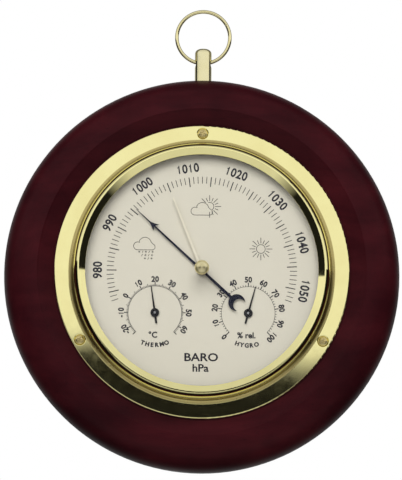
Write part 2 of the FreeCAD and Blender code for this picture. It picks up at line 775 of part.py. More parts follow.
def make_sector_arbor():
    """Stepped arbor with a pivot in each plate."""
    body = disc(SECTOR_ARBOR_R, MID_F + PLATE_T + END_PLAY, FRONT_F - END_PLAY, SECTOR_X, SECTOR_Z)
    pivots = disc(ARBOR_R, MID_F + END_PLAY, FRONT_F + PLATE_T - END_PLAY, SECTOR_X, SECTOR_Z)
    return joined([body, pivots])


def make_rocking_shaft():
    """Shaft with an arm on the capsule's stud and a finger in the sector's fork."""
    x = SECTOR_X
    y = -SHAFT_F
    reach = BEARING_T / 2
    low = SHAFT_LOW - reach - SHAFT_END
    high = SHAFT_HIGH + reach + SHAFT_END
    shaft = Part.makeCylinder(SHAFT_R, high - low, V(x, y, low))
    collars = [Part.makeCylinder(SHAFT_R + COLLAR_W, COLLAR_T, V(x, y, z))
               for z in (SHAFT_LOW + reach + END_PLAY, SHAFT_HIGH - reach - END_PLAY - COLLAR_T)]
    arm = Part.makeCylinder(CAPSULE_ARM_R, CAPSULE_ARM + CAPSULE_ARM_R, V(x, y, 0), V(-1, 0, 0))
    finger = Part.makeCylinder(FINGER_R, FINGER_ARM + FINGER_END, V(x, y, FINGER_Z), DIAL_AXIS * -1)
    body = joined([shaft, arm, finger] + collars)
    body.rotate(V(x, y, 0), V(0, 0, 1), ROCK_ANGLE)
    return body


def make_bearings():
    """Two blocks under the middle plate that carry the rocking shaft."""
    blocks = []
    for z in (SHAFT_LOW, SHAFT_HIGH):
        block = slab(SECTOR_X - BEARING_W / 2, SECTOR_X + BEARING_W / 2, SHAFT_F - BEARING_DROP, MID_F,
                     z - BEARING_T / 2, z + BEARING_T / 2)
        bore = Part.makeCylinder(SHAFT_R + SLIP, 2 * BEARING_T, V(SECTOR_X, -SHAFT_F, z - BEARING_T))
        blocks.append(block.cut(bore))
    return Part.makeCompound(blocks)


# ---- plates, pillars and their screws ----

def scallops(f0, f1):
    return [disc(SCALLOP_R, f0, f1, side * SMALL_DIAL_X, SMALL_DIAL_Z) for side in (-1, 1)]


def arbor_holes(f0, f1):
    return [disc(ARBOR_R + SLIP, f0, f1), disc(ARBOR_R + SLIP, f0, f1, SECTOR_X, SECTOR_Z)]


def threads(spots, f0, f1):
    return [disc(SMALL_THREAD_R, f0, f1, x, z) for x, z in spots]


def carrier_spots():
    return [(-CARRIER_SCREW_AT, 0.0), (CARRIER_SCREW_AT, 0.0)]


def make_base_plate():
    holes = [disc(ADJUST_SHANK_R + SLIP, FLOOR_F - THROUGH, BASE_F + THROUGH)]
    holes += threads(LONG_PILLARS, FLOOR_F - THROUGH, BASE_F + THROUGH)
    holes += threads(carrier_spots(), BASE_F + CARRIER_T - CARRIER_SCREW_L, BASE_F + THROUGH)
    return drilled(disc(BASE_R, FLOOR_F, BASE_F), holes)


def make_mid_plate():
    f0 = MID_F - THROUGH
    f1 = MID_F + PLATE_T + THROUGH
    holes = scallops(f0, f1) + arbor_holes(f0, f1) + threads(LONG_PILLARS + SHORT_PILLARS, f0, f1)
    holes.append(slab(SECTOR_X - FINGER_SLOT_X, SECTOR_X + FINGER_SLOT_X, f0, f1,
                      FINGER_Z - FINGER_SLOT_Z, FINGER_Z + FINGER_SLOT_Z))
    return drilled(disc(MID_R, MID_F, MID_F + PLATE_T), holes)


def make_front_plate():
    f0 = FRONT_F - THROUGH
    f1 = FRONT_F + PLATE_T + THROUGH
    body = disc(FRONT_PLATE_R, FRONT_F, FRONT_F + PLATE_T, 0.0, FRONT_PLATE_Z)
    return drilled(body, arbor_holes(f0, f1) + threads(SHORT_PILLARS, f0, f1))


def make_long_pillars():
    """Pillars between base and middle plate, threaded at both ends."""
    pillars = Part.makeCompound([disc(LONG_PILLAR_R, BASE_F, MID_F, x, z) for x, z in LONG_PILLARS])
    low = threads(LONG_PILLARS, BASE_F - THROUGH, BASE_F + LONG_THREAD)
    high = threads(LONG_PILLARS, MID_F - LONG_THREAD, MID_F + THROUGH)
    return drilled(pillars, low + high)


def make_short_pillars():
    """Pillars riveted in the middle plate, threaded for the front plate's screws."""
    solids = []
    for x, z in SHORT_PILLARS:
        body = joined([disc(SHORT_PILLAR_R, MID_F + PLATE_T, FRONT_F, x, z),
                       disc(SMALL_THREAD_R, MID_F, MID_F + PLATE_T, x, z)])
        solids.append(body.cut(disc(SMALL_THREAD_R, FRONT_F - SHORT_THREAD, FRONT_F + THROUGH, x, z)))
    return Part.makeCompound(solids)


def make_back_screws():
    """Screws from behind the can, through the base plate, into the long pillars."""
    outer = CAN_BACK_F - SMALL_HEAD_T
    half = SMALL_SLOT_W / 2
    solids = []
    for x, z in LONG_PILLARS:
        head = disc(SMALL_HEAD_R, outer, CAN_BACK_F, x, z)
        shank = disc(SMALL_THREAD_R, CAN_BACK_F, BASE_F + BACK_SCREW_GRIP, x, z)
        slot = slab(x - SMALL_HEAD_R, x + SMALL_HEAD_R, outer - THROUGH,
                    outer + SMALL_HEAD_T * SLOT_DEPTH, z - half, z + half)
        solids.append(joined([head, shank]).cut(slot))
    return Part.makeCompound(solids)


def small_screws(spots, head_f, length):
    return Part.makeCompound([screw(x, z, head_f, SMALL_HEAD_R, SMALL_HEAD_T, SMALL_THREAD_R,
                                    length, SMALL_SLOT_W) for x, z in spots])


def make_mid_screws():
    return small_screws(LONG_PILLARS, MID_F + PLATE_T, MID_SCREW_L)


def make_front_screws():
    return small_screws(SHORT_PILLARS, FRONT_F + PLATE_T, FRONT_SCREW_L)


# ---- aneroid capsule ----

def diaphragm(rise, sign):
    """One corrugated half of the capsule, bulging by rise away from the joint."""
    inner = []
    outer = []
    for i in range(CAPSULE_STEPS + 1):
        t = i / CAPSULE_STEPS
        r = CAPSULE_FLAT_R + (CAPSULE_R - CAPSULE_RIM - CAPSULE_FLAT_R) * t
        wave = CAPSULE_WAVE * math.sin(2 * math.pi * CAPSULE_WAVES * t) * min(1.0, 5 * (1 - t))
        lift = rise * (1 - t ** 4) + wave * min(1.0, 6 * t)
        inner.append((r, CAPSULE_MID_F + sign * lift))
        outer.append((r, CAPSULE_MID_F + sign * (lift + CAPSULE_SKIN)))
    path = [(0.0, inner[0][1])] + inner + [(CAPSULE_R, CAPSULE_MID_F)]
    path += [(CAPSULE_R, CAPSULE_MID_F + sign * CAPSULE_SKIN)]
    path += list(reversed(outer)) + [(0.0, outer[0][1])]
    return turned(path)


def make_capsule_rear():
    """Fixed half of the capsule with the boss that stands on the carrier."""
    boss = disc(CAPSULE_BOSS_R, CARRIER_F + CARRIER_T, CAPSULE_MID_F - CAPSULE_RISE)
    return joined([diaphragm(CAPSULE_RISE, -1), boss])


def make_capsule_front():
    """Moving half of the capsule."""
    return diaphragm(CAPSULE_RISE + STUD_LIFT, 1)


def make_capsule_stud():
    """Stud on the moving half, whose pin meets the rocking shaft's arm."""
    foot = CAPSULE_MID_F + CAPSULE_RISE + CAPSULE_SKIN + STUD_LIFT
    boss = disc(STUD_BOSS_R, foot, foot + STUD_BOSS_T)
    pin = disc(STUD_PIN_R, foot + STUD_BOSS_T, STUD_TIP_F + STUD_LIFT)
    return joined([boss, pin])


def make_carrier():
    """Flat spring that carries the capsule and is lifted by the adjusting screw."""
    foot = CARRIER_FOOT - CARRIER_FOOT_W
    bend = foot - CARRIER_BEND
    under = [(CARRIER_FOOT, BASE_F), (foot, BASE_F), (bend, CARRIER_F)]
    over = [(x, f + CARRIER_T) for x, f in reversed(under)]
    outline = under + [(-x, f) for x, f in reversed(under)] + [(-x, f) for x, f in reversed(over)] + over
    corners = [V(x, -f, -CARRIER_W / 2) for x, f in outline]
    strip = Part.Face(Part.makePolygon(corners + corners[:1])).extrude(V(0, 0, CARRIER_W))
    return drilled(strip, threads(carrier_spots(), BASE_F - THROUGH, BASE_F + CARRIER_T + THROUGH))


def make_carrier_screws():
    return Part.makeCompound([screw(x, z, BASE_F + CARRIER_T, CARRIER_HEAD_R, CARRIER_HEAD_T,
                                    SMALL_THREAD_R, CARRIER_SCREW_L, SMALL_SLOT_W)
                              for x, z in carrier_spots()])


def make_adjusting_screw():
    """Slotted zero screw, reached from behind through the can's back."""
    outer = CAN_BACK_F - ADJUST_HEAD_OUT
    head = disc(ADJUST_HEAD_R, outer, FLOOR_F - END_PLAY)
    shank = disc(ADJUST_SHANK_R, FLOOR_F - END_PLAY, CARRIER_F - SLIP)
    slot = slab(-ADJUST_HEAD_R, ADJUST_HEAD_R, outer - THROUGH, CAN_BACK_F - ADJUST_SLOT_F,
                -ADJUST_SLOT_W / 2, ADJUST_SLOT_W / 2)
    return joined([head, shank]).cut(slot)


# ---- thermometer and hygrometer ----

def make_cage(x):
    """Folded brass cage on the dial's back, with a bearing at each end."""
    z = SMALL_DIAL_Z
    half = CAGE_W / 2
    body = slab(x - half, x + half, CAGE_BACK_F, LEDGE_F, z - CAGE_STRIP / 2, z + CAGE_STRIP / 2)
    hollow = slab(x - CAGE_IN, x + CAGE_IN, CAGE_BACK_F + CAGE_T, LEDGE_F - CAGE_T,
                  z - CAGE_STRIP, z + CAGE_STRIP)
    bore = disc(SPINDLE_R + SLIP, CAGE_BACK_F - THROUGH, LEDGE_F + THROUGH, x, z)
    return body.cut([hollow, bore])


def make_coil(x, side):
    """Wound strip: its outer end is on the cage, its inner end turns the spindle."""
    return spiral(SPINDLE_COLLET_R + COIL_T / 2, CAGE_IN - COIL_T / 2, COIL_TURNS, 90.0 * side,
                  COIL_T, COIL_F, COIL_F + COIL_H, x, SMALL_DIAL_Z)


def make_spindle(x):
    """Spindle with the coil's collet; its tip shows in the middle of the hand."""
    z = SMALL_DIAL_Z
    tip_f = SMALL_HAND_F + SMALL_HAND_T + SPINDLE_TIP
    staff = disc(SPINDLE_R, CAGE_BACK_F + END_PLAY, tip_f, x, z)
    collet = disc(SPINDLE_COLLET_R, COIL_F - COLLET_END, COIL_F + COIL_H + COLLET_END, x, z)
    return joined([staff, collet])


def make_small_hand(x, angle):
    """Black hand with a round hub, a thin pointer and a short tail."""
    f0 = SMALL_HAND_F
    f1 = f0 + SMALL_HAND_T
    z = SMALL_DIAL_Z
    blade = plate(mirrored([(SMALL_HAND_TAIL_W / 2, z - SMALL_HAND_TAIL), (SMALL_HAND_W / 2, z),
                            (SMALL_HAND_TIP_W / 2, z + SMALL_HAND_TIP)]), f0, f1)
    blade.translate(V(x, 0, 0))
    hub = disc(SMALL_HUB_R, f0, f0 + SMALL_HUB_T, x, z)
    body = joined([blade, hub]).cut(disc(SPINDLE_R, f0 - THROUGH, f1 + THROUGH, x, z))
    return swung(body, angle, x, z)


PARTS = {
    "case_ring": make_case(),
    "hanging_post": make_post(),
    "hanging_ring": make_hanging_ring(),
    "instrument_can": make_can(),
    "bezel_ring": make_bezel(),
    "flange_screws": make_flange_screws(),
    "spacer_ring": make_spacer(),
    "glass": make_glass(),
    "dial": make_dial(),
    "glass_bush": make_bush(),
    "set_shaft": make_set_shaft(),
    "set_knob": make_knob(),
    "set_hand": make_set_hand(),
    "barometer_hand": make_barometer_hand(),
    "hand_hub": make_hand_hub(),
    "pinion_arbor": make_arbor(),
    "hairspring": make_hairspring(),
    "hairspring_stud": make_hairspring_stud(),
    "sector_gear": make_sector(),
    "sector_arbor": make_sector_arbor(),
    "rocking_shaft": make_rocking_shaft(),
    "shaft_bearings": make_bearings(),
    "base_plate": make_base_plate(),
    "mid_plate": make_mid_plate(),
    "front_plate": make_front_plate(),
    "long_pillars": make_long_pillars(),
    "short_pillars": make_short_pillars(),
    "back_screws": make_back_screws(),
    "mid_screws": make_mid_screws(),
    "front_screws": make_front_screws(),
    "capsule_rear": make_capsule_rear(),
    "capsule_front": make_capsule_front(),
    "capsule_stud": make_capsule_stud(),
    "capsule_carrier": make_carrier(),
    "carrier_screws": make_carrier_screws(),
    "adjusting_screw": make_adjusting_screw(),
    "thermometer_cage": make_cage(-SMALL_DIAL_X),
    "thermometer_coil": make_coil(-SMALL_DIAL_X, -1),
    "thermometer_spindle": make_spindle(-SMALL_DIAL_X),
    "thermometer_hand": make_small_hand(-SMALL_DIAL_X, CELSIUS_ANGLE),
    "hygrometer_cage": make_cage(SMALL_DIAL_X),
    "hygrometer_coil": make_coil(SMALL_DIAL_X, 1),
    "hygrometer_spindle": make_spindle(SMALL_DIAL_X),
    "hygrometer_hand": make_small_hand(SMALL_DIAL_X, HUMIDITY_ANGLE),
}

os.makedirs("parts", exist_ok=True)
for name, shape in PARTS.items():
    shape.exportStep(os.path.join("parts", name + ".step"))
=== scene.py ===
import bpy
import bmesh
import math
from mathutils import Matrix, Vector


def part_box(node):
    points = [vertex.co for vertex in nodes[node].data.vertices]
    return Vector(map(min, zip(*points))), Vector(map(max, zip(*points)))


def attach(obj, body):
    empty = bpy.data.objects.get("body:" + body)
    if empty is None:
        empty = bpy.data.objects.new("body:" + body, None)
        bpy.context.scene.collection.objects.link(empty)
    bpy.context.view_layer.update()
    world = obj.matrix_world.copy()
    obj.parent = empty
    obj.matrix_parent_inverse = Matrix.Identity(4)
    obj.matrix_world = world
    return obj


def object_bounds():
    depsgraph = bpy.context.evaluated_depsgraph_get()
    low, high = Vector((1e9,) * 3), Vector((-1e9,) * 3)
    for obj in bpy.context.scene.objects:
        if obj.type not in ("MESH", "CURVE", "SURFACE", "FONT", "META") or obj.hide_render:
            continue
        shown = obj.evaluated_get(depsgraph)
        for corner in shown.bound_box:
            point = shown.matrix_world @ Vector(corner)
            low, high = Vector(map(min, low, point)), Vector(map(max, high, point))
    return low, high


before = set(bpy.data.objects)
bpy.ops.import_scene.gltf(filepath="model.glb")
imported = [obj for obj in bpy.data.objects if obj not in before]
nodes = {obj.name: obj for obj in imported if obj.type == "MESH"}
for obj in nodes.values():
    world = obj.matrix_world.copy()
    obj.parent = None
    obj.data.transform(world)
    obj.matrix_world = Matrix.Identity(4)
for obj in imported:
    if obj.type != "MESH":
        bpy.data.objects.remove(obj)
cad_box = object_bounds()

# ---- wooden ring case ----
# One ring turned from a dark stained hardwood board, its long grain left to right.
# Sanded, stained red-brown and sprayed with a satin lacquer; a fine V groove from
# the turning tool parts the round rim from the dished front.


def group(name, inputs, outputs):
    """New shader node group; inputs are (kind, name, value), outputs are (kind, name)."""
    tree = bpy.data.node_groups.new(name, "ShaderNodeTree")
    for kind, label, value in inputs:
        socket = tree.interface.new_socket(name=label, in_out="INPUT",
                                           socket_type="NodeSocket" + kind)
        socket.default_value = value
    for kind, label in outputs:
        tree.interface.new_socket(name=label, in_out="OUTPUT", socket_type="NodeSocket" + kind)
    return tree, tree.nodes.new("NodeGroupInput").outputs, tree.nodes.new("NodeGroupOutput").inputs


def feed(tree, sockets, inputs):
    for label, value in inputs.items():
        if isinstance(value, bpy.types.NodeSocket):
            tree.links.new(value, sockets[label])
        else:
            sockets[label].default_value = value


def put(tree, kind, inputs=None, **settings):
    """Node of a kind, with its inputs set to values or wired to other sockets."""
    made = tree.nodes.new("ShaderNode" + kind)
    for label, value in settings.items():
        setattr(made, label, value)
    feed(tree, made.inputs, inputs or {})
    return made


def sums(tree, operation, a, b=0.0, c=0.0):
    return put(tree, "Math", {0: a, 1: b, 2: c}, operation=operation).outputs[0]


def ramp(tree, value, low, high, to_low, to_high):
    found = put(tree, "MapRange", {"Value": value, "From Min": low, "From Max": high,
                                   "To Min": to_low, "To Max": to_high})
    return found.outputs["Result"]


def tint(tree, mask, dark, light, blend="MIX"):
    mix = put(tree, "Mix", data_type="RGBA", blend_type=blend)
    for socket, value in ((mix.inputs[0], mask), (mix.inputs[6], dark), (mix.inputs[7], light)):
        if isinstance(value, bpy.types.NodeSocket):
            tree.links.new(value, socket)
        else:
            socket.default_value = value if isinstance(value, float) else (*value, 1.0)
    return mix.outputs[2]


def noise(tree, vector, scale, detail=3.0, roughness=0.5):
    made = put(tree, "TexNoise", {"Vector": vector, "Scale": scale, "Detail": detail,
                                  "Roughness": roughness})
    return made.outputs[0]


def stretched(tree, vector, scale):
    made = put(tree, "Mapping", {"Vector": vector, "Scale": scale})
    return made.outputs[0]


def place(tree):
    return put(tree, "TexCoord").outputs["Object"]


def finish(name, **shader_values):
    """New material; the named values go on the shader's own sockets."""
    material = bpy.data.materials.new(name)
    material.use_nodes = True
    tree = material.node_tree
    shader = tree.nodes["Principled BSDF"]
    for label, value in shader_values.items():
        shader.inputs[label.replace("_", " ")].default_value = value
    return material, tree, shader.inputs


def relief(tree, sockets, height, strength, distance, under=None):
    """Fine relief; under is the normal that it lies on, where it isn't the mesh's own."""
    bump = put(tree, "Bump", {"Height": height, "Strength": strength, "Distance": distance})
    if under:
        tree.links.new(under, bump.inputs["Normal"])
    tree.links.new(bump.outputs[0], sockets["Normal"])


def call(tree, name, inputs):
    made = tree.nodes.new("ShaderNodeGroup")
    made.node_tree = bpy.data.node_groups[name]
    feed(tree, made.inputs, inputs)
    return made.outputs


def coat_node(material, *names):
    for name in names:
        nodes[name].data.materials.clear()
        nodes[name].data.materials.append(material)


# Worn edges: where the surface turns sharply within a small distance.
tree, given, result = group("worn_edges", [("Float", "Reach", 0.0006), ("Float", "Breakup", 300.0)],
                            [("Float", "Mask")])
soft = put(tree, "Bevel", {"Radius": given["Reach"]}, samples=4)
flat = put(tree, "NewGeometry")
turn = put(tree, "VectorMath", {0: soft.outputs[0], 1: flat.outputs["Normal"]},
           operation="DOT_PRODUCT")
edge = ramp(tree, turn.outputs["Value"], 0.995, 0.86, 0.0, 1.0)
patchy = ramp(tree, noise(tree, place(tree), given["Breakup"], 4.0), 0.35, 0.65, 0.25, 1.0)
tree.links.new(sums(tree, "MULTIPLY", edge, patchy), result["Mask"])

# Handling: broad soft patches where a polished or painted surface has been touched.
tree, given, result = group("handling", [("Float", "Size", 60.0), ("Float", "Least", 0.0),
                                         ("Float", "Most", 1.0)], [("Float", "Value")])
broad = noise(tree, place(tree), given["Size"], 5.0, 0.6)
patch = put(tree, "MapRange", {"Value": broad, "From Min": 0.32, "From Max": 0.68,
                               "To Min": given["Least"], "To Max": given["Most"]})
tree.links.new(patch.outputs["Result"], result["Value"])

# Lathe marks: fine rings about the Y axis, left by turning, spinning or polishing.
tree, given, result = group("lathe_marks", [("Float", "Rings per metre", 3000.0)],
                            [("Float", "Height")])
level = put(tree, "VectorMath", {0: place(tree), 1: (1.0, 0.0, 1.0)}, operation="MULTIPLY")
radius = put(tree, "VectorMath", {0: level.outputs[0]}, operation="LENGTH").outputs["Value"]
rings = put(tree, "TexNoise", {"W": sums(tree, "MULTIPLY", radius, given["Rings per metre"]),
                               "Scale": 1.0, "Detail": 2.0}, noise_dimensions="1D")
tree.links.new(rings.outputs[0], result["Height"])

STAIN_DARK = (0.0070, 0.0010, 0.0018)
STAIN_MID = (0.0205, 0.0020, 0.0036)
STAIN_LIGHT = (0.037, 0.0040, 0.0062)
material, tree, sockets = finish("stained_hardwood", IOR=1.5, Specular_IOR_Level=0.045,
                                 Coat_Roughness=0.25, Coat_IOR=1.35)
grain_way = stretched(tree, place(tree), (5.0, 42.0, 42.0))
warp = noise(tree, stretched(tree, place(tree), (3.0, 14.0, 14.0)), 2.0, 2.0)
sideways = put(tree, "CombineXYZ", {"Y": warp, "Z": warp}).outputs[0]
bent = put(tree, "VectorMath", {0: grain_way, 1: sideways}, operation="ADD")
figure = noise(tree, bent.outputs[0], 1.4, 6.0, 0.62)
pores = noise(tree, stretched(tree, place(tree), (150.0, 2600.0, 2600.0)), 1.0, 2.0, 0.5)
pore = ramp(tree, pores, 0.62, 0.74, 0.0, 1.0)
mottle = noise(tree, place(tree), 26.0, 3.0, 0.55)
base = tint(tree, ramp(tree, figure, 0.36, 0.66, 0.0, 1.0), STAIN_MID, STAIN_LIGHT)
base = tint(tree, ramp(tree, mottle, 0.34, 0.62, 0.55, 0.0), base, STAIN_DARK)
base = tint(tree, sums(tree, "MULTIPLY", pore, 0.55), base, STAIN_DARK)
tree.links.new(base, sockets["Base Color"])
satiny = call(tree, "handling", {"Size": 45.0, "Least": 0.34, "Most": 0.46})["Value"]
tree.links.new(satiny, sockets["Roughness"])
worn = call(tree, "worn_edges", {"Reach": 0.0008, "Breakup": 220.0})["Mask"]
lacquer = sums(tree, "SUBTRACT", 0.05, sums(tree, "MULTIPLY", worn, 0.04))
tree.links.new(lacquer, sockets["Coat Weight"])
turning = call(tree, "lathe_marks", {"Rings per metre": 900.0})["Height"]
surface = sums(tree, "ADD", sums(tree, "MULTIPLY", pore, -0.5),
               sums(tree, "MULTIPLY", turning, 0.35))
relief(tree, sockets, surface, 0.35, 0.00008)
coat_node(material, "case_ring")

# ---- hanging post and ring ----
# A brass rod turned round at the top and cross-drilled, screwed down into the rim.
# The ring is bent from hard brass wire and sprung through the hole, its ends butted.


def brass(name, colour, tarnish, least, most, rings, depth, wear=0.5):
    """Lacquered brass: lathe marks about its own axis, patchy polish, brighter edges."""
    material, tree, sockets = finish(name, Metallic=1.0)
    patches = call(tree, "handling", {"Size": 70.0, "Least": 0.0, "Most": 1.0})["Value"]
    base = tint(tree, sums(tree, "MULTIPLY", patches, 0.35), colour, tarnish)
    worn = call(tree, "worn_edges", {"Reach": 0.0004, "Breakup": 500.0})["Mask"]
    bright = tuple(min(1.0, 1.06 * part) for part in colour)
    base = tint(tree, sums(tree, "MULTIPLY", worn, wear), base, bright)
    tree.links.new(base, sockets["Base Color"])
    marks = call(tree, "lathe_marks", {"Rings per metre": rings})["Height"]
    touched = call(tree, "handling", {"Size": 190.0, "Least": least, "Most": most})["Value"]
    rough = sums(tree, "ADD", touched, sums(tree, "MULTIPLY", marks, 0.2 * least))
    tree.links.new(rough, sockets["Roughness"])
    eased = put(tree, "Bevel", {"Radius": 0.00025}, samples=6).outputs[0]
    relief(tree, sockets, marks, 0.30, depth, eased)
    return material


BRASS = (0.93, 0.865, 0.42)
TARNISH = (0.80, 0.70, 0.30)
rod = brass("turned_rod", (0.86, 0.80, 0.50), TARNISH, 0.10, 0.16, 1200.0, 0.0000012)
coat_node(rod, "hanging_post")
wire = brass("drawn_wire", (0.88, 0.80, 0.46), TARNISH, 0.08, 0.14, 1500.0, 0.0000012)
coat_node(wire, "hanging_ring")

# ---- brass can, bezel and screws ----
# The can is spun from sheet brass: back, wall, dial ledge, cove and flat flange in
# one piece. The bezel ring is pressed into its upstand over the glass, and three
# domed cross-slotted brass screws hold the flange down on the wood.

flange = brass("spun_flange", BRASS, TARNISH, 0.025, 0.05, 2600.0, 0.0000008)
COVE_IN_R = 0.0671
COVE_OUT_R = 0.0698
tree = flange.node_tree
level = put(tree, "VectorMath", {0: place(tree), 1: (1.0, 0.0, 1.0)}, operation="MULTIPLY")
out = put(tree, "VectorMath", {0: level.outputs[0]}, operation="LENGTH").outputs["Value"]
cove = sums(tree, "MULTIPLY", ramp(tree, out, COVE_IN_R, COVE_IN_R + 0.0002, 0.0, 1.0),
            ramp(tree, out, COVE_OUT_R, COVE_OUT_R + 0.0003, 1.0, 0.0))
rough = tree.nodes["Principled BSDF"].inputs["Roughness"]
unpolished = sums(tree, "ADD", rough.links[0].from_socket, sums(tree, "MULTIPLY", cove, 0.24))
tree.links.new(unpolished, rough)
colour = tree.nodes["Principled BSDF"].inputs["Base Color"]
# The cove's base colour is darkened towards a dull brown: painted shade in the hollow between
# flange and bezel.
cove_painted_shade = tint(tree, sums(tree, "MULTIPLY", cove, 0.85), (1.0, 1.0, 1.0), (0.5, 0.43, 0.32))
shaded = put(tree, "Mix", {0: 1.0, 6: colour.links[0].from_socket, 7: cove_painted_shade},
             data_type="RGBA", blend_type="MULTIPLY")
tree.links.new(shaded.outputs[2], colour)
coat_node(flange, "instrument_can")
coat_node(brass("pressed_bezel", BRASS, TARNISH, 0.03, 0.06, 3200.0, 0.0000008), "bezel_ring")
screws = brass("screw_brass", (0.66, 0.54, 0.24), (0.42, 0.32, 0.13), 0.10, 0.18, 3000.0, 0.0000015)
coat_node(screws, "flange_screws")

# ---- dial, its printing and the glass ----
# A sheet brass plate, sprayed warm ivory white and screen printed in blue-black.
# A card ring holds the flat clear glass off it, and the bezel's lip holds both; the card is made
# near-black as painted shade for the gap under the lip.

PAPER = (0.70, 0.665, 0.555)
material, tree, sockets = finish("ivory_dial_paint", IOR=1.5, Specular_IOR_Level=0.35)
fleck = noise(tree, place(tree), 900.0, 4.0, 0.6)
clouded = call(tree, "handling", {"Size": 30.0, "Least": 0.0, "Most": 0.10})["Value"]
base = tint(tree, clouded, PAPER, (0.64, 0.60, 0.48))
base = tint(tree, ramp(tree, fleck, 0.55, 0.75, 0.0, 0.12), base, (0.60, 0.56, 0.46))
tree.links.new(base, sockets["Base Color"])
tree.links.new(call(tree, "handling", {"Size": 90.0, "Least": 0.42, "Most": 0.56})["Value"],
               sockets["Roughness"])
relief(tree, sockets, fleck, 0.2, 0.00001)
coat_node(material, "dial")

material, tree, sockets = finish("printing_ink", IOR=1.5, Specular_IOR_Level=0.4)
uneven = noise(tree, place(tree), 1800.0, 4.0, 0.6)
base = tint(tree, ramp(tree, uneven, 0.35, 0.7, 0.0, 1.0), (0.006, 0.006, 0.012),
            (0.016, 0.016, 0.026))
tree.links.new(base, sockets["Base Color"])
tree.links.new(ramp(tree, uneven, 0.3, 0.7, 0.36, 0.6), sockets["Roughness"])
relief(tree, sockets, uneven, 0.3, 0.00001)
ink = material

DIAL_FACE_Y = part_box("dial")[0].y
INK_SUNK = 0.00001
INK_STANDS = 0.00003
MM = 0.001


def around(r, clock, x=0.0, z=0.0):
    """Point on the dial at a radius and a clock angle, in millimetres."""
    a = math.radians(clock)
    return x + r * math.sin(a), z + r * math.cos(a)


def stroke(points, width, closed=False):
    """Inked line through dial points: a thin solid ribbon with mitred corners."""
    count = len(points)
    left, right = [], []
    for i, (x, z) in enumerate(points):
        before = points[i - 1] if closed or i else points[i]
        after = points[(i + 1) % count] if closed or i < count - 1 else points[i]
        dx, dz = after[0] - before[0], after[1] - before[1]
        size = math.hypot(dx, dz)
        nx, nz = -dz / size * width / 2, dx / size * width / 2
        left.append((x + nx, z + nz))
        right.append((x - nx, z - nz))
    verts = [(x, z, side) for side in (0, 1) for x, z in left + right]
    step = 2 * count
    faces = []
    for i in range(count if closed else count - 1):
        j = (i + 1) % count
        a, b, c, d = i, j, count + j, count + i
        faces += [(a, b, c, d), (step + d, step + c, step + b, step + a),
                  (b, a, step + a, step + b), (d, c, step + c, step + d)]
    if not closed:
        for i, flip in ((0, False), (count - 1, True)):
            end = (i, count + i, step + count + i, step + i)
            faces.append(end[::-1] if flip else end)
    return verts, faces


CAP_HEIGHT = 0.682


def letters(text, cap, weight=0.0):
    """Printed word centred on the origin, as high as cap, in dial millimetres."""
    curve = bpy.data.curves.new("type", "FONT")
    curve.body = text
    curve.size = 1.0
    curve.resolution_u = 3
    curve.extrude = 0.5
    curve.offset = weight
    sorted_type = bpy.data.objects.new("type", curve)
    bpy.context.scene.collection.objects.link(sorted_type)
    solid = sorted_type.evaluated_get(bpy.context.evaluated_depsgraph_get())
    mesh = bpy.data.meshes.new_from_object(solid)
    bpy.data.objects.remove(sorted_type)
    shape = bmesh.new()
    shape.from_mesh(mesh)
    bpy.data.meshes.remove(mesh)
    bmesh.ops.remove_doubles(shape, verts=shape.verts, dist=0.0005)
    shape.verts.index_update()
    low = min(v.co.x for v in shape.verts)
    high = max(v.co.x for v in shape.verts)
    size = cap / CAP_HEIGHT
    verts = [((v.co.x - (low + high) / 2) * size, (v.co.y - CAP_HEIGHT / 2) * size,
              1 if v.co.z > 0 else 0) for v in shape.verts]
    faces = [tuple(v.index for v in f.verts) for f in shape.faces]
    shape.free()
    return verts, faces


def turned_to(part, clock, x, z, wide=1.0):
    """Printed part stretched, turned clockwise and moved to a point of the dial."""
    a = math.radians(clock)
    verts = [(x + px * wide * math.cos(a) + pz * math.sin(a),
              z - px * wide * math.sin(a) + pz * math.cos(a), side) for px, pz, side in part[0]]
    return verts, part[1]


def figure_one(cap, weight):
    """The figure 1, with a short flag at its top left."""
    half = 0.085 + weight
    edge = [(-half, -0.5), (half, -0.5), (half, 0.5), (0.0, 0.5), (-0.08, 0.37),
            (-0.27, 0.28), (-0.27, 0.28 - 2 * half * 0.75), (-half, 0.23)]
    count = len(edge)
    verts = [(0.75 * px * cap, pz * cap, side) for side in (0, 1) for px, pz in edge]
    faces = [tuple(range(count))[::-1], tuple(range(count, 2 * count))]
    faces += [(i, (i + 1) % count, count + (i + 1) % count, count + i) for i in range(count)]
    return verts, faces


def radial(text, cap, r, clock, x=0.0, z=0.0, wide=1.0, weight=0.0):
    """Number across a radius of a dial, its figures side by side at an even pitch."""
    px, pz = around(r, clock, x, z)
    widths = [0.48 if figure == "-" else 0.78 for figure in text]
    made = []
    at = -sum(widths) / 2
    for figure, width in zip(text, widths):
        shape = figure_one(cap, weight) if figure == "1" else letters(figure, cap, weight)
        step = (at + width / 2) * cap * wide
        spot = (px + step * math.cos(math.radians(clock)),
                pz - step * math.sin(math.radians(clock)))
        made.append(turned_to(shape, clock, *spot, wide))
        at += width
    return made


def printed(name, parts):
    """One inked piece on the dial's face from all its strokes and letters."""
    verts, faces = [], []
    for part_verts, part_faces in parts:
        start = len(verts)
        verts += [(x * MM, DIAL_FACE_Y + (INK_SUNK if side == 0 else -INK_STANDS), z * MM)
                  for x, z, side in part_verts]
        faces += [tuple(start + i for i in face) for face in part_faces]
    mesh = bpy.data.meshes.new(name)
    mesh.from_pydata(verts, [], faces)
    shape = bmesh.new()
    shape.from_mesh(mesh)
    bmesh.ops.recalc_face_normals(shape, faces=shape.faces)
    shape.to_mesh(mesh)
    shape.free()
    mesh.materials.append(ink)
    piece = bpy.data.objects.new(name, mesh)
    bpy.context.scene.collection.objects.link(piece)
    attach(piece, "case")
    return piece


